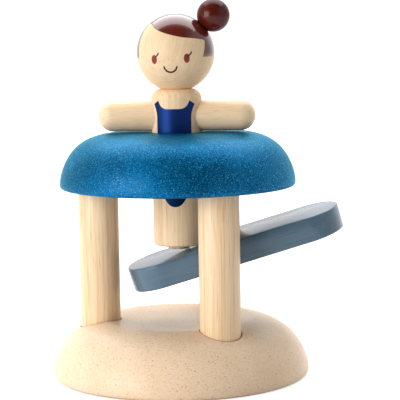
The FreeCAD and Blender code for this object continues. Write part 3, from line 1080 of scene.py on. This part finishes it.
class MakeButton(bpy.types.Operator):
    """Foot button under the body, with its peg"""

    bl_idname = "acrobat_toy.button"
    bl_label = "Foot button"

    def execute(self, context):
        sizes = context.scene.toy_doll
        low, high = BUTTON_LOW.z, BUTTON_HIGH.z
        top = low + sizes.button_height
        flat = sizes.button_radius - sizes.button_round
        outline = [(0, low), (flat * 0.5, low)]
        outline += arc((flat, low + sizes.button_round), sizes.button_round, -90, 0, 6)
        outline += [(sizes.button_radius, top), (sizes.peg_radius, top)]
        outline.append((sizes.peg_radius, high - sizes.peg_chamfer))
        outline += [(sizes.peg_radius - sizes.peg_chamfer, high), (0, high)]
        piece = turn_on_lathe("foot_rest_button", outline, BAR_STEPS)
        turn_doll(piece)
        place(piece, "foot_button", "foot", pale_wood("button_wood", seed=9.0))
        return {"FINISHED"}


class FinishDowels(bpy.types.Operator):
    """Wood of the axle and of the dowels inside the doll"""

    bl_idname = "acrobat_toy.dowels"
    bl_label = "Hidden dowels"

    def execute(self, context):
        turns = {"board_axle": (math.radians(90), 0, 0), "neck_dowel": (0, 0, 0), "bun_dowel": (0, -0.81, 0)}
        for seed, (node, turn) in enumerate(turns.items()):
            low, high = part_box(node)
            wood = pale_wood(f"{node}_wood", (low + high) / 2, turn, 11.0 + seed)
            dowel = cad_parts[node]
            if not dowel.material_slots:
                dowel.data.materials.append(wood)
            for holder in dowel.material_slots:
                holder.material = wood
        return {"FINISHED"}


class MakeStage(bpy.types.Operator):
    """Camera, lamps, room and white floor"""

    bl_idname = "acrobat_toy.stage"
    bl_label = "Studio"

    def execute(self, context):
        studio = context.scene.toy_studio
        self.add_camera(context)
        self.add_lamp("top_softbox", studio.top_light, (0.05, 0.95, 1.3), (0.05, 0.95, 0.0), 2.0, 1.8)
        self.add_lamp("side_softbox", studio.side_light, (-0.88, -0.76, 0.32), (0, 0, 0.07), 0.75, 0.75)
        self.add_room(context, studio)
        self.add_floor(studio)
        context.scene.view_settings.view_transform = "Standard"
        return {"FINISHED"}

    def add_camera(self, context):
        data = bpy.data.cameras.new("camera")
        data.lens = CAMERA_LENS
        camera = bpy.data.objects.new("camera", data)
        context.collection.objects.link(camera)
        turn = Matrix.Rotation(CAMERA_SWING, 4, "Z") @ Matrix.Rotation(math.pi / 2 - CAMERA_DIP, 4, "X")
        turn = turn @ Matrix.Rotation(CAMERA_ROLL, 4, "Z")
        camera.matrix_world = Matrix.Translation(CAMERA_PLACE) @ turn
        context.scene.camera = camera

    def add_lamp(self, name, watts, where, aim, wide, tall):
        data = bpy.data.lights.new(name, "AREA")
        data.shape = "RECTANGLE"
        data.size, data.size_y = wide, tall
        data.energy = watts
        lamp = bpy.data.objects.new(name, data)
        bpy.context.collection.objects.link(lamp)
        lamp.location = where
        lamp.rotation_euler = (Vector(aim) - Vector(where)).to_track_quat("-Z", "Y").to_euler()
        lamp.visible_camera = False

    def add_room(self, context, studio):
        world = bpy.data.worlds.new("white_room")
        world.use_nodes = True
        room = Nodes(world.node_tree)
        x, y, z = room.axes(room.node("ShaderNodeTexCoord", output="Generated"))
        behind = room.fade(y + z * 0.5, 0.2, 0.8) * studio.backdrop
        left = room.fade(x * -1.0, 0.3, 0.9) * studio.left_wall
        right = room.fade(x, 0.3, 0.9) * studio.right_wall
        seen = room.node("ShaderNodeLightPath", output="Is Camera Ray")
        strength = behind.most(left).most(right).most(studio.room).most(seen)
        white = room.node("ShaderNodeBackground", {}, {"Color": (1.0, 1.0, 1.0, 1.0), "Strength": strength})
        room.node("ShaderNodeOutputWorld", {}, {"Surface": white})
        context.scene.world = world

    def add_floor(self, studio):
        deselect_all()
        bpy.ops.mesh.primitive_plane_add(size=2 * studio.floor_size)
        floor = bpy.context.object
        floor.name = "floor"
        material = bpy.data.materials.new("white_floor")
        material.use_nodes = True
        paint = Nodes(material.node_tree)
        seen = paint.node("ShaderNodeLightPath", output="Is Camera Ray")
        mirrored = paint.node("ShaderNodeLightPath", output="Is Glossy Ray")
        grey = studio.floor_tone
        paper = paint.node("ShaderNodeBsdfDiffuse", {}, {"Color": (grey, grey, grey, 1.0)})
        glow = paint.node("ShaderNodeEmission", {}, {"Strength": seen.most(mirrored) * studio.floor_glow})
        both = paint.node("ShaderNodeAddShader", {}, (paper, glow))
        paint.node("ShaderNodeOutputMaterial", {}, {"Surface": both})
        floor.data.materials.append(material)


class ToyPanel(bpy.types.Panel):
    """Lists the toy's pieces in the sidebar"""

    bl_idname = "VIEW3D_PT_acrobat_toy"
    bl_label = "Acrobat toy"
    bl_space_type = "VIEW_3D"
    bl_region_type = "UI"
    bl_category = "Acrobat toy"

    def draw(self, context):
        for operator in OPERATORS:
            self.layout.operator(operator.bl_idname)


SETTINGS = {
    "toy_base": BaseSizes,
    "toy_ring": RingSizes,
    "toy_posts": PostSizes,
    "toy_board": BoardSizes,
    "toy_doll": DollSizes,
    "toy_colours": Colours,
    "toy_studio": Studio,
}
OPERATORS = (
    MakeStage,
    MakeBase,
    MakeRing,
    MakePosts,
    MakeBoard,
    MakeBody,
    MakeArms,
    MakeHead,
    MakeBun,
    MakeButton,
    FinishDowels,
)


def register():
    """Register the settings, the pieces and the panel."""
    for name, group in SETTINGS.items():
        bpy.utils.register_class(group)
        setattr(bpy.types.Scene, name, bpy.props.PointerProperty(type=group))
    for operator in OPERATORS:
        bpy.utils.register_class(operator)
    bpy.utils.register_class(ToyPanel)


def unregister():
    """Undo what register did."""
    bpy.utils.unregister_class(ToyPanel)
    for operator in reversed(OPERATORS):
        bpy.utils.unregister_class(operator)
    for name, group in SETTINGS.items():
        delattr(bpy.types.Scene, name)
        bpy.utils.unregister_class(group)


def main():
    """Build the stage and the pieces in order."""
    register()
    bpy.ops.acrobat_toy.stage()
    bpy.ops.acrobat_toy.base()
    bpy.ops.acrobat_toy.ring()
    bpy.ops.acrobat_toy.posts()
    bpy.ops.acrobat_toy.board()
    bpy.ops.acrobat_toy.body()
    bpy.ops.acrobat_toy.arms()
    bpy.ops.acrobat_toy.head()
    bpy.ops.acrobat_toy.bun()
    bpy.ops.acrobat_toy.button()
    bpy.ops.acrobat_toy.dowels()


if __name__ == "__main__":
    main()
